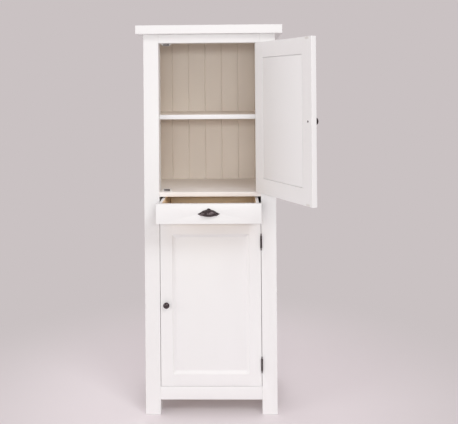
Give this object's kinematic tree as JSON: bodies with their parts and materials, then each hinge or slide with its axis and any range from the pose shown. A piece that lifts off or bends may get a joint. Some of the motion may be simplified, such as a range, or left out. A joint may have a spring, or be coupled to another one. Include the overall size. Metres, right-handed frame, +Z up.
{
  "type": "tall cupboard",
  "caption": "Tall narrow painted wooden cupboard on square legs: a framed door over a drawer over a second framed door, with a shelf behind each.",
  "frame": {"origin": "on the floor, midway between the four feet", "axes": "+Z up, -Y out of the front, +X towards the hinge side (right, seen from the front)"},
  "size_m": [0.7968, 0.895, 1.8],
  "materials": {
    "painted_outside": "satin white paint, brushed on wood",
    "painted_inside": "matt off-white paint on wood",
    "drawer_wood": "lacquered pale wood",
    "black_iron": "dark brown-black satin",
    "slide_steel": "blackened steel",
    "strike_steel": "zinc plated",
    "white_plastic": "moulded",
    "magnet_steel": "dark pole pieces"
  },
  "bodies": {
    "cabinet": {"back_board_1": "painted_inside", "back_board_2": "painted_inside", "back_board_3": "painted_inside", "back_board_4": "painted_inside", "back_board_5": "painted_inside", "back_board_6": "painted_inside", "back_board_7": "painted_inside", "bottom_rail": "painted_outside", "catch_bodies": "white_plastic", "catch_magnets": "magnet_steel", "drawer_divider": "painted_inside", "front_post_left": "painted_outside", "front_post_right": "painted_outside", "hinge_frame_leaves": "black_iron", "hinge_pins": "black_iron", "lower_floor": "painted_inside", "lower_shelf": "painted_inside", "rear_bottom_rail": "painted_outside", "rear_leg_left": "painted_outside", "rear_leg_right": "painted_outside", "shelf_cleats": "painted_inside", "side_bottom_rail_left": "painted_outside", "side_bottom_rail_right": "painted_outside", "side_panel_left": "painted_outside", "side_panel_right": "painted_outside", "side_top_rail_left": "painted_outside", "side_top_rail_right": "painted_outside", "slide_battens": "painted_inside", "slide_outer_channels": "slide_steel", "top_board": "painted_outside", "top_rail": "painted_outside", "upper_floor": "painted_inside", "upper_shelf": "painted_inside"},
    "upper_door": {"upper_door_bottom_rail": "painted_outside", "upper_door_free_stile": "painted_outside", "upper_door_hinge_leaves": "black_iron", "upper_door_hinge_stile": "painted_outside", "upper_door_knob": "black_iron", "upper_door_knob_screw": "black_iron", "upper_door_panel": "painted_outside", "upper_door_strikes": "strike_steel", "upper_door_top_rail": "painted_outside"},
    "lower_door": {"lower_door_bottom_rail": "painted_outside", "lower_door_free_stile": "painted_outside", "lower_door_hinge_leaves": "black_iron", "lower_door_hinge_stile": "painted_outside", "lower_door_knob": "black_iron", "lower_door_knob_screw": "black_iron", "lower_door_panel": "painted_outside", "lower_door_strikes": "strike_steel", "lower_door_top_rail": "painted_outside"},
    "drawer": {"drawer_front": "painted_outside", "drawer_side_left": "drawer_wood", "drawer_side_right": "drawer_wood", "drawer_back": "drawer_wood", "drawer_bottom": "drawer_wood", "cup_pull": "black_iron", "cup_pull_screws": "black_iron", "slide_inner_channels": "slide_steel"},
    "slide_middle": {"slide_middle_channels": "slide_steel"}
  },
  "joints": [
    {"name": "upper_door_hinge", "type": "hinge", "parent": "cabinet", "child": "upper_door", "pos_m": [0.234, -0.2365, 1.374], "axis": [0, 0, 1], "range_deg": [-117.65, 52.35]},
    {"name": "lower_door_hinge", "type": "hinge", "parent": "cabinet", "child": "lower_door", "pos_m": [0.234, -0.2365, 0.5095], "axis": [0, 0, 1], "range_deg": [0, 170]},
    {"name": "drawer_slide", "type": "slide", "parent": "cabinet", "child": "drawer", "axis": [0, -1, 0], "range_m": [-0.1525, 0.1775]},
    {"name": "slide_middle_travel", "type": "slide", "parent": "cabinet", "child": "slide_middle", "axis": [0, -1, 0], "range_m": [-0.07625, 0.08875]}
  ],
  "couplings": [
    {"joint": "slide_middle_travel", "follows": "drawer_slide", "ratio": 0.5}
  ]
}
